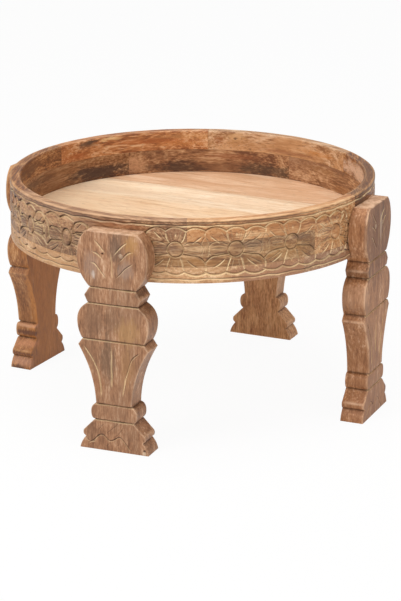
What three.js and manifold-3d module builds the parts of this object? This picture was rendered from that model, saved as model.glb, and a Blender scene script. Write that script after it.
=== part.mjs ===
// A bajot low table: a shallow round drum, open at the top, on four flat legs with a sawn outline.
// Millimetres, +Z up. The origin is on the floor under the drum's centre, the front leg is towards -Y.
import * as THREE from "three";
import { mergeVertices } from "three/addons/utils/BufferGeometryUtils.js";
import Module from "manifold-3d";

const wasm = await Module();
wasm.setup();

// Joints
const glueLine = 0.3;
const overrun = 5;

// Drum: a planked round base that carries two courses of curved blocks
const drumRadius = 320;
const wallThickness = 19;
const baseThickness = 27.4;
const lowerCourseHeight = 43;
const upperCourseHeight = 35.6;
const rimRounding = 2.5;
const baseEasing = 1.5;
const frontBoardWidth = 67.2;
const backBoardWidth = 58.8;
const boardWidth = 102.8;
const boardTurnDegrees = -2;
const upperJointDegrees = [-67, -6.5, 49.5, 109, 167.5, 228];
const lowerJointDegrees = [-96, -26, 26, 78, 138, 203];
const ringSegments = 120;
const roundingSteps = 2;
const wedgeReachShare = 1.2;
const wedgeHeelShare = 0.5;
const wedgeStepDegrees = 15;

// Legs: thickness, with a head thin enough to stand outside the wall
const legThickness = 41.2;
const headThickness = 27.3;
const heelHeight = 8.9;
const legNames = ["front_leg", "right_leg", "back_leg", "left_leg"];
const legStationDegrees = [-87.7, 0.7, 89.8, 177.1];
const edgeBevel = 1.2;
const grooveWidth = 4;
const grooveDepth = 3;
const curveSteps = 6;

// Leg outline from the floor up: the height of each member, its full widths, and where they lie
const footHeight = 53;
const footWidth = 125;
const footNotchWidth = 104;
const footLobeWidth = 115;
const footNeckWidth = 70.8;
const footNotchShare = 0.387;
const footLobeLowShare = 0.45;
const footLobeShare = 0.53;
const footLobeHighShare = 0.61;
const footLobeShoulderShare = 0.965;
const ringHeight = 28.1;
const ringWidth = 83;
const ringNeckWidth = 64;
const ringWidestShare = 0.484;
const ringPullLowShare = 0.11;
const ringPullHighShare = 0.925;
const vaseHeight = 112.2;
const vaseWidth = 126;
const vaseNeckWidth = 110.6;
const vaseCornerShare = 0.904;
const vasePullShare = 0.48;
const vaseWaistShare = 1.06;
const bulgeHeight = 63.1;
const bulgeWidth = 128;
const bulgeNeckWidth = 89;
const bulgeWidestShare = 0.5;
const bulgePullLowShare = 0.233;
const bulgePullHighShare = 0.835;
const collarHeight = 27.8;
const collarWidth = 101;
const collarNeckWidth = 82;
const collarCornerShare = 0.475;
const headHeight = 95.8;
const headWidth = 126;
const headTopWidth = 90;
const headWidestShare = 0.51;
const headPullLowShare = 0.238;
const headPullHighShare = 0.854;

// Screws: two to a leg, through the head into the wall
const screwLength = 40;
const screwShankDiameter = 4.5;
const screwHeadDiameter = 8.5;
const screwHeadDepth = 2.8;
const screwTipLength = 6;
const screwRecess = 4;
const screwSpacing = 33;
const screwClearance = 0.3;
const screwSides = 16;

// Levels, from the legs' shoulders up
const ringBottom = footHeight;
const vaseBottom = ringBottom + ringHeight;
const bulgeBottom = vaseBottom + vaseHeight;
const collarBottom = bulgeBottom + bulgeHeight;
const headBottom = collarBottom + collarHeight;
const shoulderHeight = headBottom + heelHeight;
const legHeight = headBottom + headHeight;
const baseBottom = shoulderHeight + glueLine;
const baseTop = baseBottom + baseThickness;
const lowerCourseBottom = baseTop + glueLine;
const lowerCourseTop = lowerCourseBottom + lowerCourseHeight;
const upperCourseBottom = lowerCourseTop + glueLine;
const upperCourseTop = upperCourseBottom + upperCourseHeight;

// Distances from the drum's axis
const wallInnerRadius = drumRadius - wallThickness;
const headInnerFace = drumRadius + glueLine;
const legOuterFace = headInnerFace + headThickness;
const legInnerFace = legOuterFace - legThickness;
const screwHeadFace = legOuterFace - screwRecess;
const screwHeight = lowerCourseBottom + lowerCourseHeight / 2;

// Finishes
const wallWood = new THREE.MeshStandardMaterial({ color: 0xa07950, roughness: 0.62, metalness: 0 });
const rimWood = new THREE.MeshStandardMaterial({ color: 0xa97a4d, roughness: 0.6, metalness: 0 });
const baseWood = new THREE.MeshStandardMaterial({ color: 0xdcb78d, roughness: 0.65, metalness: 0 });
const legWood = new THREE.MeshStandardMaterial({ color: 0x8e6a50, roughness: 0.6, metalness: 0 });
const screwSteel = new THREE.MeshStandardMaterial({ color: 0x77716a, roughness: 0.4, metalness: 0.9 });

// Six times the volume that the faces enclose, which is negative when they point inwards
function signedVolume(position, index) {
  const corners = [new THREE.Vector3(), new THREE.Vector3(), new THREE.Vector3()];
  let total = 0;
  for (let i = 0; i < index.length; i += 3) {
    corners.forEach((corner, k) => corner.fromBufferAttribute(position, index[i + k]));
    total += corners[0].dot(corners[1].cross(corners[2]));
  }
  return total;
}

// A closed geometry as a solid that can be cut and joined
function solidFrom(geometry) {
  const bare = geometry.clone();
  bare.deleteAttribute("normal");
  bare.deleteAttribute("uv");
  const merged = mergeVertices(bare);
  const triVerts = new Uint32Array(merged.index.array);
  if (signedVolume(merged.attributes.position, triVerts) < 0) {
    triVerts.reverse();
  }
  const vertProperties = new Float32Array(merged.attributes.position.array);
  return new wasm.Manifold(new wasm.Mesh({ numProp: 3, vertProperties, triVerts }));
}

// A solid as a flat-shaded geometry
function geometryFrom(solid) {
  const mesh = solid.getMesh();
  const geometry = new THREE.BufferGeometry();
  geometry.setAttribute("position", new THREE.BufferAttribute(mesh.vertProperties, 3));
  geometry.setIndex(new THREE.BufferAttribute(mesh.triVerts, 1));
  const faceted = geometry.toNonIndexed();
  faceted.computeVertexNormals();
  return faceted;
}

function namedMesh(name, geometry, material) {
  const mesh = new THREE.Mesh(geometry, material);
  mesh.name = name;
  return mesh;
}

// A profile of radius and height turned round the +Z axis
function turned(profile, segments) {
  const geometry = new THREE.LatheGeometry(profile, segments);
  geometry.rotateX(Math.PI / 2);
  return geometry;
}

// An outline in width and height, made thick towards -Y from y
function sawnFromPlank(outline, y, thickness, bevel) {
  const settings = { depth: thickness - 2 * bevel, bevelEnabled: bevel > 0, steps: 1 };
  Object.assign(settings, { bevelThickness: bevel, bevelSize: bevel, bevelOffset: -bevel });
  settings.bevelSegments = 1;
  const geometry = new THREE.ExtrudeGeometry(outline, settings);
  geometry.rotateX(Math.PI / 2);
  geometry.translate(0, y - bevel, 0);
  return geometry;
}

// Screw: head face at the origin, shank towards -Y of the profile
function screwProfile() {
  const shank = screwShankDiameter / 2;
  return [
    new THREE.Vector2(0, -screwLength),
    new THREE.Vector2(shank, screwTipLength - screwLength),
    new THREE.Vector2(shank, -screwHeadDepth),
    new THREE.Vector2(screwHeadDiameter / 2, 0),
    new THREE.Vector2(0, 0),
  ];
}

// The hole that a screw needs: pilot, countersink and the recess that sinks the head
function screwHoleProfile() {
  const pilot = screwShankDiameter / 2 + screwClearance;
  const recess = screwHeadDiameter / 2 + screwClearance;
  return [
    new THREE.Vector2(0, -screwLength - screwClearance),
    new THREE.Vector2(pilot, -screwLength - screwClearance),
    new THREE.Vector2(pilot, -screwHeadDepth - screwClearance),
    new THREE.Vector2(recess, -screwClearance),
    new THREE.Vector2(recess, screwRecess + overrun),
    new THREE.Vector2(0, screwRecess + overrun),
  ];
}

// A screw or its hole in a leg's own frame, pointing at the drum's axis
function alongScrew(profile, side) {
  const geometry = new THREE.LatheGeometry(profile, screwSides);
  geometry.rotateX(Math.PI);
  geometry.translate((side * screwSpacing) / 2, -screwHeadFace, screwHeight);
  return geometry;
}

// A leg's own frame has its outer face towards -Y. The station turns it about the drum's axis.
function stationTurn(stationDegrees) {
  return THREE.MathUtils.degToRad(stationDegrees) + Math.PI / 2;
}

// Right half of the leg's outline, from the floor to the top of the head
function legSide() {
  const side = new THREE.Path();
  side.moveTo(footWidth / 2, 0);
  side.lineTo(footNotchWidth / 2, footHeight * footNotchShare);
  side.lineTo((footLobeWidth / 2) * footLobeShoulderShare, footHeight * footLobeLowShare);
  side.quadraticCurveTo(
    footLobeWidth / 2, footHeight * footLobeShare,
    (footLobeWidth / 2) * footLobeShoulderShare, footHeight * footLobeHighShare,
  );
  side.lineTo(footNeckWidth / 2, ringBottom);
  side.quadraticCurveTo(
    ringWidth / 2, ringBottom + ringHeight * ringPullLowShare,
    ringWidth / 2, ringBottom + ringHeight * ringWidestShare,
  );
  side.quadraticCurveTo(
    ringWidth / 2, ringBottom + ringHeight * ringPullHighShare,
    ringNeckWidth / 2, vaseBottom,
  );
  side.quadraticCurveTo(
    (ringNeckWidth / 2) * vaseWaistShare, vaseBottom + vaseHeight * vasePullShare,
    vaseWidth / 2, vaseBottom + vaseHeight * vaseCornerShare,
  );
  side.lineTo(vaseNeckWidth / 2, bulgeBottom);
  side.quadraticCurveTo(
    bulgeWidth / 2, bulgeBottom + bulgeHeight * bulgePullLowShare,
    bulgeWidth / 2, bulgeBottom + bulgeHeight * bulgeWidestShare,
  );
  side.quadraticCurveTo(
    bulgeWidth / 2, bulgeBottom + bulgeHeight * bulgePullHighShare,
    bulgeNeckWidth / 2, collarBottom,
  );
  side.lineTo(collarWidth / 2, collarBottom + collarHeight * collarCornerShare);
  side.lineTo(collarNeckWidth / 2, headBottom);
  side.quadraticCurveTo(
    headWidth / 2, headBottom + headHeight * headPullLowShare,
    headWidth / 2, headBottom + headHeight * headWidestShare,
  );
  side.quadraticCurveTo(
    headWidth / 2, headBottom + headHeight * headPullHighShare,
    headTopWidth / 2, legHeight,
  );
  return side.getPoints(curveSteps);
}

function legOutline() {
  const right = legSide();
  const left = right.map((point) => new THREE.Vector2(-point.x, point.y));
  return new THREE.Shape([...right, ...left.reverse()]);
}

// The rebate behind the head: above the shoulder only the head's thickness is left
function rebate() {
  const depth = legThickness - headThickness;
  const width = Math.max(headWidth, collarWidth) + 2 * overrun;
  const height = legHeight - shoulderHeight + overrun;
  const geometry = new THREE.BoxGeometry(width, depth + overrun, height);
  const centreY = -headInnerFace + (depth + overrun) / 2;
  geometry.translate(0, centreY, shoulderHeight + height / 2);
  return solidFrom(geometry);
}

// A V groove cut across the outer face at a neck of the outline
function neckGroove(level) {
  const section = new THREE.Shape([
    new THREE.Vector2(0, -grooveDepth),
    new THREE.Vector2(-grooveWidth / 2, 0),
    new THREE.Vector2(-grooveWidth / 2, overrun),
    new THREE.Vector2(grooveWidth / 2, overrun),
    new THREE.Vector2(grooveWidth / 2, 0),
  ]);
  const width = Math.max(headWidth, bulgeWidth, vaseWidth, footWidth) + 2 * overrun;
  const geometry = new THREE.ExtrudeGeometry(section, { depth: width, bevelEnabled: false });
  geometry.translate(0, 0, -width / 2);
  geometry.rotateY(Math.PI / 2);
  geometry.rotateX(Math.PI);
  geometry.translate(0, -legOuterFace, level);
  return solidFrom(geometry);
}

function legGeometry() {
  let leg = solidFrom(sawnFromPlank(legOutline(), -legInnerFace, legThickness, edgeBevel));
  leg = leg.subtract(rebate());
  for (const level of [ringBottom, vaseBottom, bulgeBottom, collarBottom, headBottom]) {
    leg = leg.subtract(neckGroove(level));
  }
  for (const side of [-1, 1]) {
    leg = leg.subtract(solidFrom(alongScrew(screwHoleProfile(), side)));
  }
  return geometryFrom(leg);
}

function ringProfile(bottom, top, rounding) {
  const outline = new THREE.Path();
  outline.moveTo(wallInnerRadius, bottom);
  outline.lineTo(drumRadius, bottom);
  outline.lineTo(drumRadius, top - rounding);
  if (rounding > 0) {
    outline.absarc(drumRadius - rounding, top - rounding, rounding, 0, Math.PI / 2);
    outline.absarc(wallInnerRadius + rounding, top - rounding, rounding, Math.PI / 2, Math.PI);
  } else {
    outline.lineTo(wallInnerRadius, top);
  }
  outline.lineTo(wallInnerRadius, bottom);
  return outline.getPoints(roundingSteps);
}

// A point on a radial joint, moved sideways by half a glue line
function besideJoint(radius, degrees, side) {
  const angle = THREE.MathUtils.degToRad(degrees);
  const along = new THREE.Vector2(Math.cos(angle), Math.sin(angle)).multiplyScalar(radius);
  const across = new THREE.Vector2(-Math.sin(angle), Math.cos(angle));
  return along.addScaledVector(across, (side * glueLine) / 2);
}

// The space of one block in its course, between two radial joints
function blockSpace(fromDegrees, toDegrees, bottom, top) {
  const reach = drumRadius * wedgeReachShare;
  const heel = wallInnerRadius * wedgeHeelShare;
  const steps = Math.ceil((toDegrees - fromDegrees) / wedgeStepDegrees);
  const points = [besideJoint(heel, fromDegrees, 1), besideJoint(reach, fromDegrees, 1)];
  for (let i = 1; i < steps; i += 1) {
    points.push(besideJoint(reach, THREE.MathUtils.lerp(fromDegrees, toDegrees, i / steps), 0));
  }
  points.push(besideJoint(reach, toDegrees, -1), besideJoint(heel, toDegrees, -1));
  const height = top - bottom + 2 * overrun;
  const settings = { depth: height, bevelEnabled: false };
  const geometry = new THREE.ExtrudeGeometry(new THREE.Shape(points), settings);
  geometry.translate(0, 0, bottom - overrun);
  return solidFrom(geometry);
}

// One course: a turned ring, drilled for the screws and parted into its blocks
function course(name, joints, bottom, top, rounding, material) {
  let ring = solidFrom(turned(ringProfile(bottom, top, rounding), ringSegments));
  for (const station of legStationDegrees) {
    for (const side of [-1, 1]) {
      const hole = alongScrew(screwHoleProfile(), side).rotateZ(stationTurn(station));
      ring = ring.subtract(solidFrom(hole));
    }
  }
  return joints.map((from, i) => {
    const to = i + 1 < joints.length ? joints[i + 1] : joints[0] + 360;
    const block = ring.intersect(blockSpace(from, to, bottom, top));
    return namedMesh(`${name}_${i + 1}`, geometryFrom(block), material);
  });
}

// Base: a disc parted into edge-glued boards. The first and the last are slim, and the boards
// between them share the rest evenly.
function baseBoards() {
  const profile = [
    new THREE.Vector2(0, baseBottom),
    new THREE.Vector2(drumRadius - baseEasing, baseBottom),
    new THREE.Vector2(drumRadius, baseBottom + baseEasing),
    new THREE.Vector2(drumRadius, baseTop),
    new THREE.Vector2(0, baseTop),
  ];
  const disc = solidFrom(turned(profile, ringSegments));
  const firstSeam = frontBoardWidth - drumRadius;
  const lastSeam = drumRadius - backBoardWidth;
  const fullBoards = Math.max(1, Math.round((lastSeam - firstSeam) / boardWidth));
  const seams = [];
  for (let i = 0; i <= fullBoards; i += 1) {
    seams.push(THREE.MathUtils.lerp(firstSeam, lastSeam, i / fullBoards));
  }
  const edges = [-drumRadius - overrun, ...seams, drumRadius + overrun];
  const names = seams.slice(1).map((seam, i) => `base_board_${i + 1}`);
  names.unshift("base_front_board");
  names.push("base_back_board");
  const length = 2 * (drumRadius + overrun);
  return edges.slice(1).map((far, i) => {
    const near = edges[i];
    const height = baseThickness + 2 * overrun;
    const strip = new THREE.BoxGeometry(length, far - near - glueLine, height);
    strip.translate(0, (near + far) / 2, baseBottom + baseThickness / 2);
    strip.rotateZ(THREE.MathUtils.degToRad(boardTurnDegrees));
    const board = disc.intersect(solidFrom(strip));
    return namedMesh(names[i], geometryFrom(board), baseWood);
  });
}

// A leg with its two screws, turned to its station
function legWithScrews(name, station, shape, screws) {
  const group = new THREE.Group();
  group.add(namedMesh(name, shape, legWood));
  screws.forEach((screw, i) => {
    group.add(namedMesh(`${name}_screw_${i + 1}`, screw, screwSteel));
  });
  group.rotation.z = stationTurn(station);
  return group;
}

const drum = new THREE.Group();
drum.add(...baseBoards());
const lower = [lowerJointDegrees, lowerCourseBottom, lowerCourseTop, 0, wallWood];
drum.add(...course("lower_course_block", ...lower));
const upper = [upperJointDegrees, upperCourseBottom, upperCourseTop, rimRounding, rimWood];
drum.add(...course("upper_course_block", ...upper));

const table = new THREE.Group();
table.add(drum);
const legShape = legGeometry();
const screwShapes = [-1, 1].map((side) => alongScrew(screwProfile(), side));
legNames.forEach((name, i) => {
  table.add(legWithScrews(name, legStationDegrees[i], legShape, screwShapes));
});

export default table;
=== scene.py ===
# A bajot low table in carved hardwood: a shallow round drum, open at the top, on four plank legs.
# Metres, +Z up. The origin is on the floor under the drum's centre, the front leg is towards -Y.
import math

import bpy
import numpy as np
from mathutils import Matrix, Vector


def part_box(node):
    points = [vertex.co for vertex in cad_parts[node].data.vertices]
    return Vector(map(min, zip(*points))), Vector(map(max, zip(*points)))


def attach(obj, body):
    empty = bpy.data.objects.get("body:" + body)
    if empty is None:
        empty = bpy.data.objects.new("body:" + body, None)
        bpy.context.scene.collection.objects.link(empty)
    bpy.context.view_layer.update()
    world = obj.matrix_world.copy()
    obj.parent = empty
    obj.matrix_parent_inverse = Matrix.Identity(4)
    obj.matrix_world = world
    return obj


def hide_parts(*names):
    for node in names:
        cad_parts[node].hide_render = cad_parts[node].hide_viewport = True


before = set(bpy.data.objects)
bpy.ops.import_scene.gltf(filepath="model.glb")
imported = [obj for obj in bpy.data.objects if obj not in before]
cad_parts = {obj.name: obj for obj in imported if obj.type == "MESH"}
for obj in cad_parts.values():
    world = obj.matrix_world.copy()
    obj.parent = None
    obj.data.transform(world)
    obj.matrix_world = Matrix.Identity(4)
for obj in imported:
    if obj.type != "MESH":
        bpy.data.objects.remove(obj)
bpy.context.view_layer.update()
mm = 0.001


# The view. The table is seen from its front right corner, from a little above the rim,
# through a long lens that stands about four metres off.
view_turn = math.radians(24.47)
view_rise = math.radians(17.84)
view_roll = math.radians(-0.134)
view_distance = 4.04
aim_sideways = 0.0137
aim_height = 0.1614
lens_length = 135.44
film_width = 36
far_clip = 60


def in_scene(name, data):
    """A new object in the scene."""
    made = bpy.data.objects.new(name, data)
    bpy.context.scene.collection.objects.link(made)
    return made


back = Vector((
    math.sin(view_turn) * math.cos(view_rise),
    -math.cos(view_turn) * math.cos(view_rise),
    math.sin(view_rise),
))
level = Vector((math.cos(view_turn), math.sin(view_turn), 0))
upright = back.cross(level)
right = level * math.cos(view_roll) + upright * math.sin(view_roll)
up = upright * math.cos(view_roll) - level * math.sin(view_roll)
camera_data = bpy.data.cameras.new("camera")
camera_data.lens = lens_length
camera_data.sensor_width = film_width
camera_data.clip_end = far_clip
camera = in_scene("camera", camera_data)
camera_place = level * aim_sideways + Vector((0, 0, aim_height)) + back * view_distance
camera.matrix_world = Matrix((
    (right.x, up.x, back.x, camera_place.x),
    (right.y, up.y, back.y, camera_place.y),
    (right.z, up.z, back.z, camera_place.z),
    (0, 0, 0, 1),
))
bpy.context.scene.camera = camera


# The base: seven boards glued edge to edge and turned to a disc. Their rim is the drum's bottom
# stripe, where the carver's lowest scallops and a wavy line run over pale and brown boards alike.
drum_radius = -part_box("base_front_board")[0].y
base_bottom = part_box("base_front_board")[0].z
base_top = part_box("base_front_board")[1].z
rim_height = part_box("upper_course_block_1")[1].z
board_turn = math.radians(-2)
glue_line = 0.3 * mm
arris = 0.5 * mm
arris_angle = math.radians(48)
fine_step = 0.8 * mm
rim_rows = 34

lattice_size = 32
lattice = np.random.default_rng(11).random((lattice_size,) * 3)


def drift(x, y, z):
    """Smooth noise from -1 to 1 that turns about once for each unit of its place."""
    x, y, z = np.broadcast_arrays(x, y, z)
    cells = [np.floor(v).astype(int) for v in (x, y, z)]
    parts = [v - c for v, c in zip((x, y, z), cells)]
    smooth = [p * p * (3 - 2 * p) for p in parts]
    total = np.zeros(x.shape)
    for corner in np.ndindex(2, 2, 2):
        weight = np.ones(x.shape)
        for axis, near in enumerate(corner):
            weight = weight * (smooth[axis] if near else 1 - smooth[axis])
        i, j, k = ((c + n) % lattice_size for c, n in zip(cells, corner))
        total += weight * lattice[i, j, k]
    return 2 * total - 1


def bow(start, end, rise, count=14):
    """Points of an arc from start to end that stands off its chord by rise, to the left."""
    start, end = np.array(start, float), np.array(end, float)
    along = end - start
    left = np.array((-along[1], along[0])) / np.hypot(*along)
    t = np.linspace(0, 1, count)[:, None]
    return start + along * t + left * rise * 4 * t * (1 - t)


def through(*points, count=12):
    """Points of a soft curve through each of the points given."""
    knots = np.array(points, float)
    padded = np.vstack((2 * knots[0] - knots[1], knots, 2 * knots[-1] - knots[-2]))
    t = np.linspace(0, 1, count, endpoint=False)[:, None]
    spans = []
    for a, b, c, d in zip(padded, padded[1:], padded[2:], padded[3:]):
        curve = 2 * b + (c - a) * t + (2 * a - 5 * b + 4 * c - d) * t**2
        spans.append((curve + (3 * b - a - 3 * c + d) * t**3) / 2)
    return np.vstack((*spans, knots[-1:]))


def turned(points, angle):
    """Points of a plan turned anticlockwise about its origin."""
    cosine, sine = math.cos(angle), math.sin(angle)
    return points @ np.array(((cosine, sine), (-sine, cosine)))


def oval(centre, across, tall, lean=0.0, count=40):
    """Points of a closed oval."""
    t = np.linspace(0, 2 * math.pi, count)
    plain = np.stack((across * np.cos(t), tall * np.sin(t)), axis=1)
    return np.array(centre) + turned(plain, lean)


class Relief:
    """A face laid flat, with how deep it is cut at each place. u runs along it and v up it.

    In a metre a stroke wanders, deepens and shines so many times. The walls of a cut get a painted
    highlight where they face up or aside, and painted shade where they face down.
    """

    step = 0.5 * mm
    reach = 7 * mm
    wander_rate, depth_rate, shine_rate = 90.0, 60, 33
    wander_planes, depth_plane, shine_plane = (3.3, 8.8), 5.1, 1.7
    end_strength, uneven_strength = 0.15, 0.3
    plain_shine, uneven_shine = 0.8, 0.75
    lit_above, lit_aside, far_side_share = 1.4, 1.1, 0.7
    shaded_below, shaded_most, pale_share = 1.3, 1.25, 0.65

    def __init__(self, width, low, high, wraps=False):
        self.low = low
        self.wraps = wraps
        self.columns = round(width / self.step)
        self.rows = round((high - low) / self.step) + 1
        self.cut = np.zeros((self.rows, self.columns))
        self.pale = np.zeros((self.rows, self.columns))
        self.away = np.full((self.rows, self.columns), self.reach)

    def stroke(self, path, half_width, depth, pale, taper=0.0, rounds=True, wobble=0.5 * mm):
        """A V cut along a path. It may taper at its ends and round the wood over beside it.

        Highlight is how strong the painted highlight on its walls is, which comes and goes along
        it.
        """
        path = np.asarray(path, float)
        lengths = np.concatenate(([0], np.cumsum(np.hypot(*np.diff(path, axis=0).T))))
        if lengths[-1] == 0:
            return
        places = np.arange(0, lengths[-1] + self.step, self.step)
        u = np.interp(places, lengths, path[:, 0])
        v = np.interp(places, lengths, path[:, 1])
        bend = self.wander_rate
        u = u + wobble * drift(u * bend, v * bend, self.wander_planes[0])
        v = v + wobble * drift(u * bend, v * bend, self.wander_planes[1])
        from_end = np.minimum(places, lengths[-1] - places)
        strength = np.ones(len(places))
        if taper:
            strength = np.clip(from_end / taper, self.end_strength, 1)
        uneven = drift(u * self.depth_rate, v * self.depth_rate, self.depth_plane)
        strength = strength * (1 + self.uneven_strength * uneven)
        glint = drift(u * self.shine_rate, v * self.shine_rate, self.shine_plane)
        shine = np.clip(pale * (self.plain_shine + self.uneven_shine * glint), 0, 1)
        widest = half_width * (1 + self.uneven_strength)
        span = math.ceil((self.reach if rounds else widest) / self.step)
        offsets = np.arange(-span, span + 1)
        for x, y, part, glow in zip(u / self.step, (v - self.low) / self.step, strength, shine):
            across = offsets + round(x)
            upward = offsets + round(y)
            upward = upward[(upward >= 0) & (upward < self.rows)]
            if self.wraps:
                shown = across % self.columns
            else:
                across = across[(across >= 0) & (across < self.columns)]
                shown = across
            if not len(upward) or not len(across):
                continue
            far = np.hypot(across[None, :] - x, upward[:, None] - y) * self.step
            window = np.ix_(upward, shown)
            if rounds:
                self.away[window] = np.minimum(self.away[window], far)
            wall = depth * part * (1 - far / (half_width * (0.5 + 0.5 * part)))
            deeper = wall > self.cut[window]
            self.cut[window] = np.where(deeper, wall, self.cut[window])
            self.pale[window] = np.where(deeper, glow, self.pale[window])

    def settle(self, rounding):
        """The depth at each place once the wood beside the cuts is rounded over, and the painted
        light and shade on their walls.
        """
        beside = rounding * (1 - self.away / self.reach) ** 2
        self.depth = self.cut + beside
        # Painted light: a cut's walls are made paler where they face up or aside, and darker where
        # they face down.
        upward = np.gradient(self.cut, axis=0) / self.step
        leftward = -np.gradient(self.cut, axis=1) / self.step
        aside = np.maximum(leftward, self.far_side_share * -leftward)
        self.lit = np.clip(self.lit_above * upward + self.lit_aside * aside, 0, 1) * self.pale
        shade = np.clip(-self.shaded_below * upward, 0, 1)
        self.shaded = shade * (self.shaded_most - self.pale_share * self.pale)

    def sample(self, field, u, v):
        """A field of the face, read between its places."""
        x = np.asarray(u) / self.step
        y = np.clip((np.asarray(v) - self.low) / self.step, 0, self.rows - 1.001)
        i, j = np.floor(x).astype(int), np.floor(y).astype(int)
        fx, fy = x - i, y - j
        if self.wraps:
            near, far = i % self.columns, (i + 1) % self.columns
        else:
            near = np.clip(i, 0, self.columns - 1)
            far = np.clip(i + 1, 0, self.columns - 1)
        low = field[j, near] * (1 - fx) + field[j, far] * fx
        high = field[j + 1, near] * (1 - fx) + field[j + 1, far] * fx
        return low * (1 - fy) + high * fy

    def read(self, u, v, shown=1):
        """The depth at each place, and the marks of the cuts there, with their painted highlight
        and shade.
        """
        depth, cut, lit, shaded = (
            self.sample(field, u, v) * shown
            for field in (self.depth, self.cut, self.lit, self.shaded)
        )
        return depth, {"cut": cut / mm, "lit": lit, "shaded": shaded}


def station(leg):
    """The direction of a leg from the drum's axis, from the middle of its sole."""
    corners = {tuple(round(c, 6) for c in v.co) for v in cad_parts[leg].data.vertices}
    sole = np.array([c for c in corners if c[2] < arris])
    return math.atan2(sole[:, 1].mean(), sole[:, 0].mean())


# The carver's band, laid flat. Twenty places are marked out, 18 degrees apart, and the four that
# a leg's head covers stay plain. One panel, left of the front leg, is cut deeper and plumper.
leg_names = ("front_leg", "right_leg", "back_leg", "left_leg")
leg_stations = [station(leg) for leg in leg_names]
flower_places = 20
flower_pitch = 2 * math.pi / flower_places
first_flower = math.radians(-88.5)
flower_height = 350 * mm
head_room = 0.8 * flower_pitch
cramped_within = 1.3 * flower_pitch
cramped_share = 0.62
hair_share = 0.85
hand_size, hand_lean = 0.025, 0.03

# Each cut's half width, depth and taper in millimetres, how strong the painted highlight on its
# walls is, and whether the wood beside it is rounded over.
drawn_cuts = {
    "outlines": (1.6, 1.8, 0, 1.2, True),
    "scallops": (2.2, 1.7, 0, 1.4, True),
    "leaves": (1.5, 1.6, 0, 0.45, True),
    "side_petals": (1.2, 1.0, 4, 0.4, False),
    "veins": (1.4, 1.4, 5, 1.2, False),
    "hairs": (1.1, 0.8, 4, 0.35, False),
}
plump_cuts = {
    "outlines": (2.1, 2.5, 0, 0.6, True),
    "scallops": (1.8, 1.8, 0, 0.5, True),
    "leaves": (2.1, 2.5, 0, 0.5, True),
    "side_petals": (1.9, 2.4, 4, 0.5, True),
    "veins": (1.4, 1.5, 4, 0.4, False),
    "hairs": (1.1, 0.9, 4, 0.5, False),
}
carving = Relief(2 * math.pi * drum_radius, base_bottom, rim_height, wraps=True)
carver = np.random.default_rng(4)
half_pitch_mm = flower_pitch * drum_radius / mm / 2


def flower_strokes(closed_sides, room, plump):
    """The cuts of one flower, in millimetres from the middle of its boss.

    At a panel's end nothing follows the flower, so the petals on that side are closed. Room is
    below one where they are cramped. A plump flower has a tall boss and one whole oval petal.
    """
    strokes = {name: [] for name in drawn_cuts}
    strokes["outlines"].append(bow((16.5, 30.5), (-16.5, 30.5), -6.5))
    strokes["scallops"].append(bow((-15.5, -37.5), (15.5, -37.5), -4.5))
    strokes["leaves"].append(oval((0, 0), 10.5, 15) if plump else oval((0, 0), 13, 13))
    strokes["veins"] += [through((0, 29.5), (0.5, 21)), through((0, -26), (0, -33))]
    edge = half_pitch_mm - 0.4
    for side in (-1, 1):
        across = np.array((side, 1))
        petal_sides = [
            through((9, 11), (13.5, 19), (16.5, 30.5)),
            through((8, -11.5), (12, -23), (15.5, -37.5)),
        ]
        top = [bow((edge, 31), (16.5, 30.5), -6)]
        foot = [bow((15.5, -37.5), (edge, -38.5), -4.5)]
        leaf = [through((12.5, -8), (27, -10), (40, -13), (edge, -22))]
        veins_here = [
            through((18, -16), (27, -24), (38, -31)),
            through((27, 10.5), (35, 17), (43, 23.5)),
        ]
        side_petal = through((12.5, 7), (24, 12), (38, 11.5), (44.5, 4), (44, -4), (40, -11))
        hairs_here = [
            through((17, 5), (28, 7), (39, 5.5)),
            through((16, 1.5), (27, 2), (41, 1)),
            through((16, -2.5), (27, -3), (40, -3.5)),
            through((17, -5.5), (28, -7), (37, -7.5)),
            through((5, 15), (7, 22), (9, 32)),
            through((11, 14), (19, 21), (26, 32)),
            through((4, -15), (6, -24), (8, -36)),
            through((20, -13), (31, -19), (44, -26)),
        ]
        inner = across
        if side in closed_sides:
            inner = np.array((side * room, 1))
            top = [
                bow((46 * room, 28), (16.5, 30.5), -6.5 * room),
                through((46 * room, 28), (50 * room, 21), (47 * room, 12), (38 * room, 9)),
                through((49 * room, -20), (50 * room, -27), (46 * room, -34)),
            ]
            foot = [bow((15.5, -37.5), (46 * room, -34), -4.5 * room)]
            leaf = [through((12.5, -8), (28 * room, -11), (42 * room, -13), (49 * room, -20))]
            veins_here[1] = through((23, 18), (29, 24), (35, 30))
            hairs_here.append(through((29, 13), (38, 17), (46, 23)))
        if plump and side > 0:
            top[0] = oval((30.5, 19.5), 16, 11.5, 0.25)
        for name, paths, mirror in (
            ("outlines", top, across),
            ("scallops", foot, across),
            ("leaves", leaf, across),
            ("side_petals", [side_petal], inner),
            ("veins", petal_sides, across),
            ("veins", veins_here, inner),
            ("hairs", [path for path in hairs_here if carver.random() < hair_share], inner),
        ):
            strokes[name] += [path * mirror for path in paths]
    return strokes


def bud_strokes():
    """The pointed bud between two flowers, with the short lines above and below it."""
    return {
        "veins": [through((0, -23), (0.5, -38)), through((0.5, 31), (-0.5, 22))],
        "side_petals": [
            through((0, 22), (-4.5, 15), (-6.5, 6), (-6, -4), (-3.5, -13)),
            through((0, 22), (4.5, 15), (6.5, 6), (6, -4), (3.5, -13)),
        ],
        "hairs": [through((0, 12), (0.5, -6))],
    }


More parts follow.
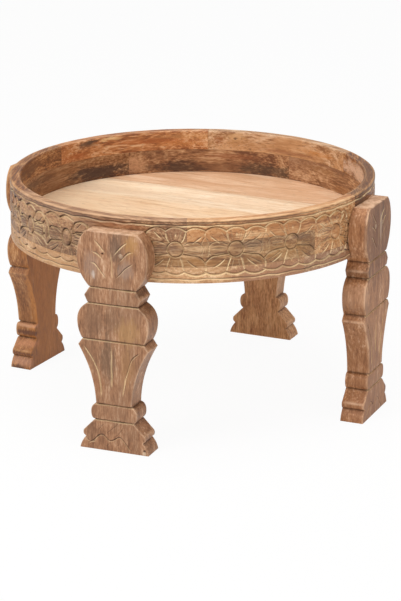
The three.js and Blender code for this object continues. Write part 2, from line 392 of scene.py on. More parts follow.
def carve(strokes, angle):
    """Cuts a motif into the band, a little off its marks as a hand leaves it."""
    size = 1 + carver.uniform(-hand_size, hand_size)
    lean = carver.uniform(-hand_lean, hand_lean)
    shift = carver.uniform(-1, 1, 2)
    place = np.array((angle * drum_radius, flower_height))
    cuts = plump_cuts if angle > leg_stations[-1] else drawn_cuts
    for name, paths in strokes.items():
        half_width, depth, taper, pale, rounds = cuts[name]
        for path in paths:
            path = place + (turned(path, lean) * size + shift) * mm
            carving.stroke(path, half_width * mm, depth * mm, pale, taper * mm, rounds)


def clear_of_legs(angle, room):
    """Whether no leg's head stands within that much of an angle."""
    turns = [abs(math.remainder(angle - leg, 2 * math.pi)) for leg in leg_stations]
    return min(turns) > room


for place in range(flower_places):
    angle = first_flower + place * flower_pitch
    if clear_of_legs(angle, head_room):
        closed = []
        for side in (-1, 1):
            if not clear_of_legs(angle + side * flower_pitch, head_room):
                closed.append(side)
        cramped = 0 < leg_stations[1] - angle < cramped_within
        room = cramped_share if cramped else 1.0
        carve(flower_strokes(closed, room, angle > leg_stations[-1]), angle)
    if clear_of_legs(angle + flower_pitch / 2, flower_pitch):
        carve(bud_strokes(), angle + flower_pitch / 2)

# The right panel's end, where short rough cuts fill the strip beside the leg's head.
end_from_leg = 57 * mm
panel_end = np.array((leg_stations[1] * drum_radius - end_from_leg, 0))
end_cut = dict(half_width=1.5 * mm, depth=2.0 * mm, pale=0.2, rounds=False, wobble=1.5 * mm)
for points in (
    ((-15, 370), (-12, 352), (-16, 336), (-12, 318), (-14, 307)),
    ((-11, 368), (-9, 356), (-12, 344), (-8, 330)),
    ((-8, 366), (-5, 350), (-9, 334), (-5, 316)),
    ((-4, 360), (-2, 344), (-5, 330), (-3, 312)),
    ((-15, 345), (-9, 341), (-3, 344)),
    ((-14, 334), (-8, 331), (-3, 334)),
    ((-13, 326), (-7, 322), (-2, 318), (2, 311)),
    ((-12, 360), (-6, 356), (0, 352)),
    ((-14, 314), (-8, 310), (0, 308)),
):
    carving.stroke(panel_end + through(*points) * mm, **end_cut)

# The lines that border the band: height, swing, waves round the drum, phase, then how much each
# wavers, how often and on which plane of the noise, then half width, depth and how strong the
# painted highlight on its walls is.
line_points = 1800
around = np.linspace(0, 2 * math.pi, line_points)
in_plump_panel = (around > leg_stations[-1]) & (around < leg_stations[0] + 2 * math.pi)
plump_panel_shine = 0.35
for height, swing, waves, phase, waver, rate, plane, half_width, depth, pale in (
    (391, 0.6, 43, 0, 1.2, 9, 0.5, 1.8, 1.9, 1.1),
    (300, 0.7, 41, 1, 1.4, 11, 2.5, 1.6, 1.5, 1.0),
    (395.6, 0.25, 0, 0, 1.0, 30, 4.5, 0.9, 0.7, 0.2),
):
    wave = np.sin(around * waves + phase) + waver * drift(around * rate, plane, 0.5)
    line = height * mm + swing * mm * wave
    for panel, shine in ((in_plump_panel, plump_panel_shine * pale), (~in_plump_panel, pale)):
        for run in np.split(np.arange(len(around)), np.flatnonzero(np.diff(panel)) + 1):
            if panel[run[0]]:
                path = np.stack((around[run] * drum_radius, line[run]), axis=1)
                carving.stroke(path, half_width * mm, depth * mm, shine, rounds=False)
carving.settle(rounding=1.8 * mm)


def solid_piece(name, points, faces, marks):
    """A mesh object, smooth but for its arrises, that keeps its marks as attributes."""
    mesh = bpy.data.meshes.new(name)
    mesh.from_pydata(points.reshape(-1, 3).tolist(), [], faces)
    mesh.shade_smooth()
    mesh.set_sharp_from_angle(angle=arris_angle)
    for mark, values in marks.items():
        mesh.attributes.new(mark, "FLOAT", "POINT").data.foreach_set("value", values.ravel())
    return in_scene(name, mesh)


def looped(rows, columns):
    """Quads of a grid whose rows each close on themselves, and a cap on its first and last row."""
    index = np.arange(rows * columns).reshape(rows, columns)
    beside = np.roll(index, -1, axis=1)
    quads = np.stack((index[:-1], beside[:-1], beside[1:], index[1:]), axis=-1)
    return quads.reshape(-1, 4).tolist() + [index[0, ::-1].tolist(), index[-1].tolist()]


def hand_worked(points, amount, spread):
    """How far a hand-finished face stands off true at each point."""
    x, y, z = points.reshape(-1, 3).T * spread
    off = amount * (drift(x, y, z) + 0.5 * drift(2.1 * x, 2.1 * y + 7, 2.1 * z))
    return off.reshape(points.shape[:-1])


def board_outline(near, far):
    """A board's outline on the disc between two seams, anticlockwise."""
    first = math.asin(max(near / drum_radius, -1))
    last = math.asin(min(far / drum_radius, 1))
    count = max(2, round((last - first) * drum_radius / fine_step))
    turns = np.concatenate((
        np.linspace(first, last, count),
        np.linspace(math.pi - last, math.pi - first, count),
    ))
    return drum_radius * np.stack((np.cos(turns), np.sin(turns)), axis=1)


def base_board(node, near, far):
    """A board of the base: flat faces, sawn seams and a rim that carries the band's lower edge."""
    outline = board_outline(near + glue_line / 2, far - glue_line / 2)
    gaps = np.hypot(*(outline - np.roll(outline, 1, axis=0)).T)
    outline = outline[gaps > 0.01 * mm]
    outline = turned(outline, board_turn)
    outward = outline / np.hypot(*outline.T)[:, None]
    angles = np.arctan2(outline[:, 1], outline[:, 0])
    inward = outline.mean(axis=0) - outline
    inward /= np.hypot(*inward.T)[:, None]
    rim = np.linspace(base_bottom + arris, base_top - arris, rim_rows)
    levels = np.concatenate(((base_bottom,), rim, (base_top,)))[:, None]
    inset = np.zeros(levels.shape)
    inset[[0, -1]] = arris
    depth, marks = carving.read(angles * drum_radius, levels, inset == 0)
    plan = outline - outward * depth[..., None] + inward * inset[..., None]
    points = np.dstack((plan, np.broadcast_to(levels, depth.shape)))
    return solid_piece(node + "_worked", points, looped(*depth.shape), marks)


class Value:
    """A number that changes over a surface. Sums with it add Math nodes to its tree."""

    def __init__(self, nodes, socket):
        self.nodes = nodes
        self.socket = socket

    def __add__(self, other):
        return self.nodes.sum("ADD", self, other)

    def __sub__(self, other):
        return self.nodes.sum("SUBTRACT", self, other)

    def __rsub__(self, other):
        return self.nodes.sum("SUBTRACT", other, self)

    def __mul__(self, other):
        return self.nodes.sum("MULTIPLY", self, other)

    __radd__ = __add__
    __rmul__ = __mul__


class Nodes:
    """A node tree in the making. One method adds each node: it is set up first, then linked."""

    def __init__(self, tree):
        self.tree = tree
        self.tree.nodes.clear()

    def node(self, kind, settings=None, values=None, output=0):
        node = self.tree.nodes.new(kind)
        for name, setting in (settings or {}).items():
            if name == "stops":
                ramp = node.color_ramp
                while len(ramp.elements) < len(setting):
                    ramp.elements.new(1)
                for element, (place, code) in zip(ramp.elements, setting):
                    element.position = place
                    element.color = paint(code)
            else:
                setattr(node, name, setting)
        for place, value in (values or {}).items():
            if isinstance(value, Value):
                self.tree.links.new(value.socket, node.inputs[place])
            else:
                node.inputs[place].default_value = value
        return Value(self, node.outputs[output]) if node.outputs else None

    def sum(self, operation, first, second):
        return self.node("ShaderNodeMath", {"operation": operation}, {0: first, 1: second})


class Finish(Nodes):
    """The nodes of a material or of the sky, which is its owner."""

    def __init__(self, owner):
        self.owner = owner
        owner.use_nodes = True
        super().__init__(owner.node_tree)

    def between(self, value, low, high, out_low=0.0, out_high=1.0):
        """A value eased from one range to another, and held there."""
        settings = {"interpolation_type": "SMOOTHSTEP"}
        values = {0: value, 1: low, 2: high, 3: out_low, 4: out_high}
        return self.node("ShaderNodeMapRange", settings, values)

    def vector(self, x, y, z):
        return self.node("ShaderNodeCombineXYZ", None, {0: x, 1: y, 2: z})

    def length(self, vector):
        return self.node("ShaderNodeVectorMath", {"operation": "LENGTH"}, {0: vector}, output=1)

    def noise(self, vector, detail, roughness=0.5, scale=1.0):
        values = {"Vector": vector, "Scale": scale, "Detail": detail, "Roughness": roughness}
        return self.node("ShaderNodeTexNoise", None, values)

    def blend(self, amount, first, second):
        """A colour between two others."""
        values = {0: amount, 6: first, 7: second}
        return self.node("ShaderNodeMix", {"data_type": "RGBA"}, values, output=2)

    def ramp(self, amount, stops):
        """A colour from a row of them, by its place in the row."""
        return self.node("ShaderNodeValToRGB", {"stops": list(stops)}, {0: amount})

    def bump(self, height, distance):
        values = {"Strength": 0.4, "Distance": distance, "Height": height}
        return self.node("ShaderNodeBump", None, values)

    def attribute(self, name):
        settings = {"attribute_name": name, "attribute_type": "GEOMETRY"}
        return self.node("ShaderNodeAttribute", settings, output=2)

    def material(self, values):
        """The finished material, from the values of its shader."""
        shader = self.node("ShaderNodeBsdfPrincipled", None, values)
        self.node("ShaderNodeOutputMaterial", None, {"Surface": shader})
        return self.owner


def paint(code):
    """A linear colour from the usual six-figure code."""
    parts = [int(code[i:i + 2], 16) / 255 for i in (0, 2, 4)]
    linear = [p / 12.92 if p <= 0.04045 else ((p + 0.055) / 1.055) ** 2.4 for p in parts]
    return (*linear, 1.0)


tone_places = (0.36, 0.46, 0.54, 0.66)
pore_brown = "5a3a22"
painted_highlight = "ffe0ae"
# Painted light: the highlight on a cut's walls that face the light, the shade on those that face
# down, and the shade in the deepest cuts.
shaded_wood = "30190a"
deep_cut_shade = "22150d"


def timber(
    name, tones, flush, turn, heart, lie,
    grain_up=False, figure=1.0, run=16, broad=0.5, flecked=0.3, patched=0.6, gloss=0.5, tints=(),
):
    """Hardwood as a solid block: growth rings round the tree's heart, fibres, pores and stains.

    The grain runs at that turn about +Z, or straight up. Flush is the colour of its broad patches.
    Run is how often a fibre changes along its way. Broad, flecked and patched are how much its
    rings, its short flecks and its patches show.
    Tints are stains, with some painted highlights and painted shade among them. Each is a place
    along, across and up the piece, its half lengths, colour and strength. The walls of the cuts
    get a painted highlight and painted shade, and the deepest cuts painted shade.
    """
    finish = Finish(bpy.data.materials.new(name))
    place = finish.node("ShaderNodeTexCoord", output=3)
    placed = finish.node("ShaderNodeMapping", None, {"Vector": place, "Rotation": (0, 0, -turn)})
    x, y, z = (finish.node("ShaderNodeSeparateXYZ", None, {0: placed}, output=i) for i in range(3))
    length, across, deep = (z, x, y) if grain_up else (x, y, z)
    along = length + lie

    def grain(lengthwise, crosswise, detail=2.0, roughness=0.5, shift=(0, 0)):
        """Noise drawn out along the fibres, from how often it changes in a metre each way."""
        here = finish.vector(
            along * lengthwise + shift[0],
            across * crosswise,
            deep * crosswise + shift[1],
        )
        return finish.noise(here, detail, roughness)

    sway_reach = 0.05
    from_heart = finish.vector(
        across + heart[0] + (grain(5, 11) - 0.5) * sway_reach,
        deep + heart[1] + (grain(4, 9, shift=(9, 5)) - 0.5) * sway_reach,
        0.0,
    )
    radius = finish.length(from_heart)
    rings = finish.noise(finish.vector(radius * 150, along * 2.2, lie), 3.0, 0.6) - 0.5
    fibres = grain(run, 300, 3.0, 0.65) - 0.5
    flecks = grain(2.6 * run, 380, 2.0, 0.7) - 0.5
    mottle = grain(0.7 * run, 70, 4.0, 0.6) - 0.5
    streaks = grain(0.5 * run, 100, 4.0, 0.65) - 0.5
    patches = grain(7, 20, 3.0, 0.6, shift=(3, 3))
    pores = finish.between(grain(70, 520, 1.0), 0.6, 0.74)

    tone = ((rings + mottle) * broad + fibres * 0.6 + flecks * flecked) * figure + 0.5
    colour = finish.ramp(tone, zip(tone_places, tones))
    colour = finish.blend(finish.between(patches, 0.46, 0.64) * patched, colour, paint(flush))
    for centre, half, stain, strength in tints:
        ways = zip((length, across, deep), centre, half)
        offset = finish.vector(*((way - middle) * (1 / reach) for way, middle, reach in ways))
        far = finish.length(offset)
        amount = finish.between(far + streaks * 2.4 + flecks * 1.3, 1.4, 0.4) * strength
        colour = finish.blend(amount, colour, paint(stain))
    worn = finish.attribute("worn") * finish.between(streaks + mottle, -0.12, 0.14, 0.35, 1.0)
    cut = finish.attribute("cut")
    for amount, code in (
        (pores * (0.5 * figure), pore_brown),
        (worn * 0.85, tones[3]),
        # Painted highlight on the cuts' walls that face the light, painted shade on those that face
        # down and in the deepest cuts.
        (finish.attribute("lit") * 0.95, painted_highlight),
        (finish.attribute("shaded") * 0.8, shaded_wood),
        (finish.between(cut, 2.2, 3.4) * 0.8, deep_cut_shade),
    ):
        colour = finish.blend(amount, colour, paint(code))
    height = fibres * 0.6 + rings * 0.4 - pores * 0.5
    return finish.material({
        "Base Color": colour,
        "Roughness": 0.52 + fibres * 0.2 + finish.between(cut, 0.3, 1.5) * 0.2,
        "Normal": finish.bump(height, 0.6 * mm),
        "Specular IOR Level": gloss,
        "Coat Weight": 0.06,
        "Coat Roughness": 0.35,
    })


def in_metres(tints, shift=(0, 0, 0)):
    """Tints from a table in millimetres, moved by a shift in metres: stains, painted highlights and
    painted shade.
    """
    moved = []
    for place, half, colour, strength in tints:
        place = [p * mm + s for p, s in zip(place, shift)]
        moved.append((place, [h * mm for h in half], colour, strength))
    return moved


board_tones = {
    "straw": (("ac7b50", "c69467", "d5a87b", "e8c19a"), "bb8b61"),
    "peach": (("cd9c70", "e3bc92", "f0cfaa", "f9e0c4"), "e9be94"),
    "cream": (("cfa47c", "e7c6a2", "f3d9ba", "fae8d0"), "e9c7a4"),
    "apricot": (("cc9c72", "e3bc94", "efd0a8", "f6dec0"), "e8bd94"),
    "pink": (("be8e68", "d5a983", "e3bc99", "f0d0b2"), "cf9f78"),
}
board_kinds = {
    "base_front_board": "straw",
    "base_board_1": "straw",
    "base_board_2": "apricot",
    "base_board_3": "peach",
    "base_board_4": "cream",
    "base_board_5": "pink",
    "base_back_board": "pink",
}
board_stains_and_painted_light = {
    "base_front_board": [((-80, -320, 305), (120, 1000, 1000), "a87c52", 0.5)],
    "base_board_1": [
        ((275, -200, 302), (130, 1000, 24), "a67456", 0.75),
        ((-240, -200, 302), (110, 1000, 24), "9c7048", 0.6),
    ],
    "base_board_2": [
        ((335, -100, 302), (85, 1000, 40), "9c6e50", 0.95),
        ((-300, -100, 302), (80, 1000, 24), "8e643f", 0.8),
    ],
    "base_board_3": [
        ((335, 0, 302), (75, 1000, 34), "9c6e50", 0.95),
        # Paler at the tray floor's left end, near the wall: partly the board's own tone, partly
        # painted light over the wall's shade.
        ((-270, 0, 322), (90, 1000, 30), "ffe4c0", 0.35),
    ],
    # The same on the next board: partly its tone, partly painted light over the wall's shade.
    "base_board_4": [((-210, 0, 322), (120, 1000, 30), "ffe6c4", 0.35)],
}
board_figures = {"base_front_board": 0.95, "base_board_1": 0.9}
plain_board_figure = 0.6
board_nodes = list(board_kinds)
front_board_width = 67.2 * mm
back_board_width = 58.8 * mm
front_seam = front_board_width - drum_radius
back_seam = drum_radius - back_board_width
seams = [-drum_radius, *np.linspace(front_seam, back_seam, len(board_nodes) - 1), drum_radius]
for order, node in enumerate(board_nodes):
    board = base_board(node, seams[order], seams[order + 1])
    tones, flush = board_tones[board_kinds[node]]
    wood = timber(
        node, tones, flush, board_turn, (0.05 + 0.03 * order, 0.16), 1.7 * order,
        figure=board_figures.get(node, plain_board_figure),
        tints=in_metres(board_stains_and_painted_light.get(node, ())),
    )
    board.data.materials.append(wood)
    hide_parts(node)
    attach(board, "root")


# The wall: two courses of curved blocks sawn from planks and glued up like brickwork. The grain
# of each block runs straight along its own plank, so its figure changes where the block bends away.
wall_thickness = 19 * mm
rim_rounding = 2.5 * mm
carved_until = 0.5
block_unevenness = 0.22 * mm
block_wear_rate = 28.0
lower_course = (base_top + glue_line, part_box("lower_course_block_1")[1].z)
upper_course = (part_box("upper_course_block_1")[0].z, rim_height)


def block_span(node):
    """The angles that a block runs between, from the frame's own block."""
    spots = np.array([v.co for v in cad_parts[node].data.vertices])
    middle = math.atan2(spots[:, 1].mean(), spots[:, 0].mean())
    turns = np.arctan2(spots[:, 1], spots[:, 0]) - middle
    turns = (turns + math.pi) % (2 * math.pi) - math.pi
    return middle + turns.min(), middle + turns.max()


def wall_section(bottom, top, rounding):
    """A block's section: radius, height, the way its face looks, and whether it is carved."""
    outer, inner = drum_radius, drum_radius - wall_thickness
    eased_from = top - rounding

    def rounded(centre, start, end):
        """One rounded arris of the rim. Its steepest part belongs to the carved face."""
        arc = []
        for turn in np.linspace(start, end, 6) if rounding else ():
            out, rise = math.cos(turn), math.sin(turn)
            steep = int(turn < carved_until)
            arc.append((centre + rounding * out, eased_from + rounding * rise, out, rise, steep))
        return arc

    count = round((eased_from - bottom) / fine_step)
    face = np.linspace(bottom, eased_from, count, endpoint=rounding == 0)
    back = np.linspace(eased_from, bottom, 12, endpoint=False)[1 if rounding else 0:]
    return np.array([
        *((r, bottom, 0, -1, 0) for r in np.linspace(inner, outer, 6)[:-1]),
        *((outer, z, 1, 0, 1) for z in face),
        *rounded(outer - rounding, 0, math.pi / 2),
        *((r, top, 0, 1, 0) for r in np.linspace(outer - rounding, inner + rounding, 7)[1:-1]),
        *rounded(inner + rounding, math.pi / 2, math.pi),
        *((inner, z, -1, 0, 0) for z in back),
    ])


def wall_block(node, course, rounding):
    """A curved block with the band cut into its outer face and its rim eased by hand."""
    start, end = block_span(node)
    section = wall_section(*course, rounding)
    angles = np.linspace(start, end, round((end - start) * drum_radius / fine_step))
    turn, part = np.meshgrid(angles, np.arange(len(section)), indexing="ij")
    radius, height, out, rise, carved = (section[part, i] for i in range(5))
    true_place = np.stack((radius * np.cos(turn), radius * np.sin(turn), height), axis=-1)
    wear = hand_worked(true_place, block_unevenness, block_wear_rate)
    depth, marks = carving.read(turn * drum_radius, height, carved)
    marks["worn"] = ((rise > 0) & (out > 0)).astype(float)
    stand = wear * (rise >= 0) - depth
    radius = radius + out * stand
    height = height + rise * stand
    points = np.stack((radius * np.cos(turn), radius * np.sin(turn), height), axis=-1)
    return solid_piece(node + "_carved", points, looped(*turn.shape), marks)


block_tones = {
    "amber": (("905a32", "b97f50", "d29c6a", "e6be90"), "be824e"),
    "olive": (("785032", "9a6d45", "b68a5e", "d2aa80"), "8a623f"),
    "orange": (("7c4522", "a26438", "bd8150", "dab088"), "b5713c"),
    "golden": (("8a5c38", "aa7c54", "c29770", "d8b492"), "c49060"),
    "honey": (("744b2c", "966845", "b1845c", "cca27c"), "8c6144"),
    "walnut": (("5a341a", "7e4c26", "9c663a", "c09060"), "6c4222"),
    "umber": (("664428", "886040", "a57c58", "c29a74"), "7a563a"),
    "chestnut": (("693e22", "8e5f3c", "aa7c54", "c69c74"), "7c5234"),
}
upper_kinds = ("amber", "walnut", "golden", "orange", "walnut", "honey")
lower_kinds = ("olive", "amber", "honey", "chestnut", "chestnut", "umber")
block_stains = {
    "upper_course_block_1": (
        (-72, 395, 70, 4, "6b452c", 0.7),
        (-45, 396, 60, 3, "7b553a", 0.6),
        (-40, 386, 60, 5, "a86a36", 0.5),
        (-20, 384, 40, 6, "b07838", 0.5),
        (-56, 372, 40, 5, "8a5c38", 0.4),
        (-10.5, 374, 12, 12, "8c5828", 0.5),
    ),
    "upper_course_block_2": (
        (-3, 378, 30, 30, "4a3020", 0.6),
        (33, 380, 90, 15, "dcb89c", 0.8),
        (18, 402, 120, 7, "54361f", 0.5),
    ),
    "upper_course_block_3": (
        (104, 384, 8, 8, "9a5a2c", 0.6),
        (98, 390, 18, 9, "c89a68", 0.6),
        (98.5, 387, 3.2, 2.4, "5f4029", 0.8),
        (95, 380, 40, 7, "a5713f", 0.35),
        (78, 371, 60, 4, "8a5230", 0.55),
        (64, 381, 45, 5, "c07a34", 0.5),
    ),
    "upper_course_block_4": (
        (153.2, 394, 7, 4, "2b211c", 0.9),
        (151, 395.5, 8, 2.2, "3a2a20", 0.8),
        (156, 392.5, 9, 2.2, "4a3020", 0.7),
        (154.5, 390, 22, 6, "6a4a35", 0.6),
        (147.5, 394.5, 7, 3, "e0b882", 0.75),
        (144.5, 396, 12, 2.6, "e6c290", 0.8),
        (142, 393.5, 9, 2.2, "dcb07a", 0.6),
        (148, 389.5, 7, 1.6, "5a3018", 0.6),
        (160, 374, 30, 5, "a4541f", 0.6),
        (128, 383, 70, 5, "b0622e", 0.5),
        (118, 376, 50, 5, "c07c42", 0.5),
        (116, 389, 60, 6, "cf9860", 0.4),
    ),
    "upper_course_block_5": (
        (190, 384, 60, 8, "5a3318", 0.5),
        (214, 392, 50, 6, "a2703e", 0.5),
    ),
    "upper_course_block_6": (
        (275, 386, 50, 4, "9a5a30", 0.45),
        (250, 394, 80, 5, "6f4d3c", 0.6),
        (240, 372, 50, 6, "b98f64", 0.5),
    ),
    "lower_course_block_1": (
        (-46.5, 356, 26, 6, "7a5f4c", 0.5),
        (-31, 358, 20, 5, "8a6c58", 0.4),
        (-76, 350, 40, 9, "7b563f", 0.45),
        (-73, 331, 40, 9, "966a38", 0.4),
        (-34, 343, 50, 9, "b28248", 0.35),
        (-72, 355, 24, 6, "75543f", 0.5),
        (-60, 345, 40, 5, "80583a", 0.4),
        (-60, 328, 50, 5, "a8743c", 0.5),
        (-35, 332, 50, 6, "ad7c46", 0.5),
    ),
    "lower_course_block_2": (
        (-20, 358, 22, 4, "6f5142", 0.35),
        (-12, 335, 40, 14, "c0864a", 0.4),
        (-10.5, 335, 12, 34, "8c5828", 0.6),
    ),
    "lower_course_block_3": (
        (60, 352, 60, 6, "94663a", 0.4),
        (45, 330, 60, 8, "a06a38", 0.4),
    ),
    "lower_course_block_4": (
        (119, 330, 55, 11, "432a1d", 0.85),
        (88, 331, 48, 13, "45301f", 0.8),
        (135, 340, 20, 14, "c0906a", 0.6),
        (100, 352, 60, 5, "8a4e2a", 0.5),
    ),
    "lower_course_block_5": (
        (172, 345, 220, 60, "74420c", 0.4),
        (152, 334, 75, 15, "3a2016", 0.9),
        (186, 350, 60, 8, "50331f", 0.6),
    ),
}


def stains_through(node):
    """A block's stains, which go right through it, by their angle round the drum and height."""
    tints = []
    for degrees, height, long, tall, colour, strength in block_stains.get(node, ()):
        away = math.radians(degrees) - sum(block_span(node)) / 2
        along = (drum_radius - wall_thickness / 2) * math.sin(away)
        place = (along, -drum_radius, height * mm)
        tints.append((place, (long * mm, 1, tall * mm), colour, strength))
    return tints


for kinds, name, course, rounding, slot in (
    (lower_kinds, "lower_course_block", lower_course, 0.0, "wall_wood"),
    (upper_kinds, "upper_course_block", upper_course, rim_rounding, "rim_wood"),
):
    for order, kind in enumerate(kinds):
        node = f"{name}_{order + 1}"
        block = wall_block(node, course, rounding)
        turn = sum(block_span(node)) / 2 + math.pi / 2
        heart = (drum_radius + (0.02, -0.05, 0.05)[order % 3], -0.30 - 0.02 * (order % 4))
        lie = 3.1 + 1.3 * order + course[0]
        wood = timber(
            node, *block_tones[kind], turn, heart, lie,
            run=22, flecked=0.45, tints=stains_through(node),
        )
        block.data.materials.append(wood)
        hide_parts(node)
        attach(block, "root")


# The legs: planks sawn to a fretted outline, each member parted from the next by a V groove. The
# head is rebated to stand outside the wall, its back is hollowed a little towards the wall's
# round, and its face is cut with a leaf's veins.
leg_face = 347.6 * mm
leg_back = 306.4 * mm
head_back = drum_radius + glue_line
hollow_radius = 370 * mm
shoulder = base_bottom - glue_line
leg_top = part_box("front_leg")[1].z
foot_top = 53 * mm
ring_top = foot_top + 28.1 * mm
vase_top = ring_top + 112.2 * mm
bulge_top = vase_top + 63.1 * mm
collar_top = bulge_top + 27.8 * mm

# The leg's edge from the sole up, in millimetres: where each part ends, as half width and height,
# the point that pulls it into a curve, and its count of points. Straight parts have neither.
sole_corner = (62.5, 0)
edge_parts = (
    ((52, 20.5), (60.8, 10.5), 28),
    ((55.5, 23.9), None, None),
    ((55.5, 32.3), (57.5, 28.1), 9),
    ((35.4, 53), None, None),
    ((41.5, 66.6), (41.5, 56), 16),
    ((32, 81.1), (41.5, 79), 18),
    ((63, 182.5), (33.9, 135), 96),
    ((55.3, 193.3), None, None),
    ((64, 224.8), (64, 208), 30),
    ((44.5, 256.4), (64, 246), 34),
    ((50.5, 269.6), None, None),
    ((41, 284.2), None, None),
    ((63, 333.1), (63, 307), 50),
    ((45, 380), (63, 366), 46),
)


def leg_side():
    """Half widths and heights up the leg's edge."""
    start = sole_corner
    parts = []
    for end, pull, count in edge_parts:
        if pull:
            t = np.linspace(0, 1, count)[:, None]
            parts.append((1 - t) ** 2 * start + 2 * t * (1 - t) * pull + t**2 * end)
        else:
            count = max(2, round(math.dist(start, end) / (fine_step / mm)))
            parts.append(np.linspace(start, end, count))
        start = end
    points = np.vstack(parts)
    steps = np.hypot(*np.diff(points, axis=0).T)
    return points[np.concatenate(([True], steps > 0.01))] * mm


leg_strokes = [
    ((-1, 346), (0, 324), (0, 302)),
    ((-31, 366), (-21, 356), (-12, 345.5)),
    ((-35, 346), (-25, 342), (-16.5, 334)),
    ((-38.5, 327), (-29, 324), (-10, 301)),
    ((27.5, 366.5), (15, 356), (4, 343)),
    ((37.5, 351), (27.5, 347), (12.5, 331.5)),
    ((37.5, 331), (25, 322.5), (7.5, 303.5)),
    ((-52, 180.5), (-38, 161), (-27.5, 138), (-22.5, 112.5), (-22.5, 95)),
    ((-3, 184), (-3, 112.5)),
    ((48.5, 179), (35, 166.5), (27.5, 148.5), (21, 125.5), (17, 100)),
]
foot_wave = (
    (-47, 9), (-36.5, 15.5), (-29, 24), (-20, 26.5), (-10, 18), (-2, 19),
    (9.5, 26), (17, 20.5), (27.5, 7.5), (32.5, 5.5),
)
foot_curl = ((-55, 25), (-51, 18), (-46, 13.3), (-39, 12.2), (-33, 15))
foot_tool_marks = (
    ((9, 50.5), (-16, 27.5)),
    ((20, 45.5), (-1, 21)),
    ((-6, 15), (-18, 3)),
    ((-16, 49.5), (-32, 29)),
    ((12, 16), (2, 5)),
    ((30, 40), (22, 30)),
)
groove_heights = (foot_top, ring_top, vase_top, bulge_top, collar_top)
leg_half = 70 * mm
screw_spacing = 33 * mm
screw_height = sum(lower_course) / 2
open_hole = (-screw_spacing / 2 + leg_half, screw_height)


def leg_relief(order):
    """The face of one leg laid flat, with its grooves, veins and wavy foot line."""
    relief = Relief(2 * leg_half, 0, leg_top)
    hand = np.random.default_rng(order)

    def cut(points, half_width, depth, pale, taper, shift=(0, 0)):
        """A fine cut in the leg's face, from its drawing in millimetres."""
        path = (through(*points) + shift) * mm + (leg_half, 0)
        relief.stroke(path, half_width * mm, depth * mm, pale, taper * mm, rounds=False)

    for height in groove_heights:
        path = ((0, height), (2 * leg_half, height))
        relief.stroke(path, half_width=1.6 * mm, depth=3 * mm, pale=0.45, wobble=0.3 * mm)
    for points in leg_strokes:
        shift = hand.uniform(-1, 1, 2) if order else (0, 0)
        cut(points, 1.4, depth=1.1 if order else 1.5, pale=0.8, taper=7, shift=shift)
    cut(foot_wave, 1.4, depth=1.0 if order else 1.7, pale=0.2, taper=7)
    if order == 0:
        hole = np.array((open_hole, open_hole)) + ((0, 0), (0.1 * mm, 0))
        relief.stroke(hole, half_width=2.2 * mm, depth=4 * mm, pale=0, rounds=False, wobble=0)
        cut(foot_curl, 1.3, depth=1.1, pale=0.3, taper=5)
        for points in foot_tool_marks:
            cut(points, 1.2, depth=0.7, pale=0, taper=9)
    relief.settle(rounding=0.6 * mm)
    return relief


leg_edge = leg_side()
seen_edge = np.vstack((
    leg_edge,
    np.column_stack((np.linspace(leg_edge[-1, 0], 0, 60), np.full(60, leg_top))),
))


def from_edge(x, height):
    """How far each place on a leg's face lies from the sawn edge."""
    far = np.full(x.shape, 1.0)
    for part in np.array_split(seen_edge, 12):
        gaps = np.hypot(np.abs(x)[..., None] - part[:, 0], height[..., None] - part[:, 1])
        far = np.minimum(far, gaps.min(axis=-1))
    return far


edge_steps = np.array((0, 0.12, 0.35, 0.7, 1.1, 1.6, 2.2, 3, 4, 5.2, 6.6, 8)) * mm
flank = np.array((0.02, 0.045, 0.08, 0.15, 0.3, 0.45, 0.6, 0.75, 0.88))
rear = np.linspace(1, -1, 10)
head_easing = 1.7 * mm
member_easing = 1.0 * mm
easing_change = 10 * mm
worn_width = 2.1 * mm
worn_flank = 3.6 * mm
notch_heights = (*groove_heights, 21.5 * mm)
ridge_heights = (32.3 * mm, 182.5 * mm, 269.6 * mm)
# How strong the painted shade in the flanks' notches is, and how far it reaches.
notch_shade_strength, notch_shade_reach = 0.8, 2.8 * mm
rub_strength, rub_reach = 0.9, 3.2 * mm
leg_unevenness = 0.3 * mm
leg_wear_rate = 22.0
seat_margin = 2 * mm
face_middle_columns = 118


def nearness(height, heights, reach):
    """From 0 to 1, how near each height is to the closest of some others."""
    gaps = np.abs(height - np.array(heights)).min(axis=1, keepdims=True)
    return np.maximum(0, 1 - gaps / reach)


def face_columns(half):
    """Where the face's columns stand on each row, close together beside each arris."""
    inner = np.linspace(-1, 1, face_middle_columns)[1:-1] * (half - edge_steps[-1])
    return np.hstack((edge_steps - half, inner, half - edge_steps[::-1]))


def round_plank(face, side, back):
    """Values all round the plank on each row: the face, one side, the back and the other side."""
    return np.hstack((face, side, back, side[:, ::-1]))


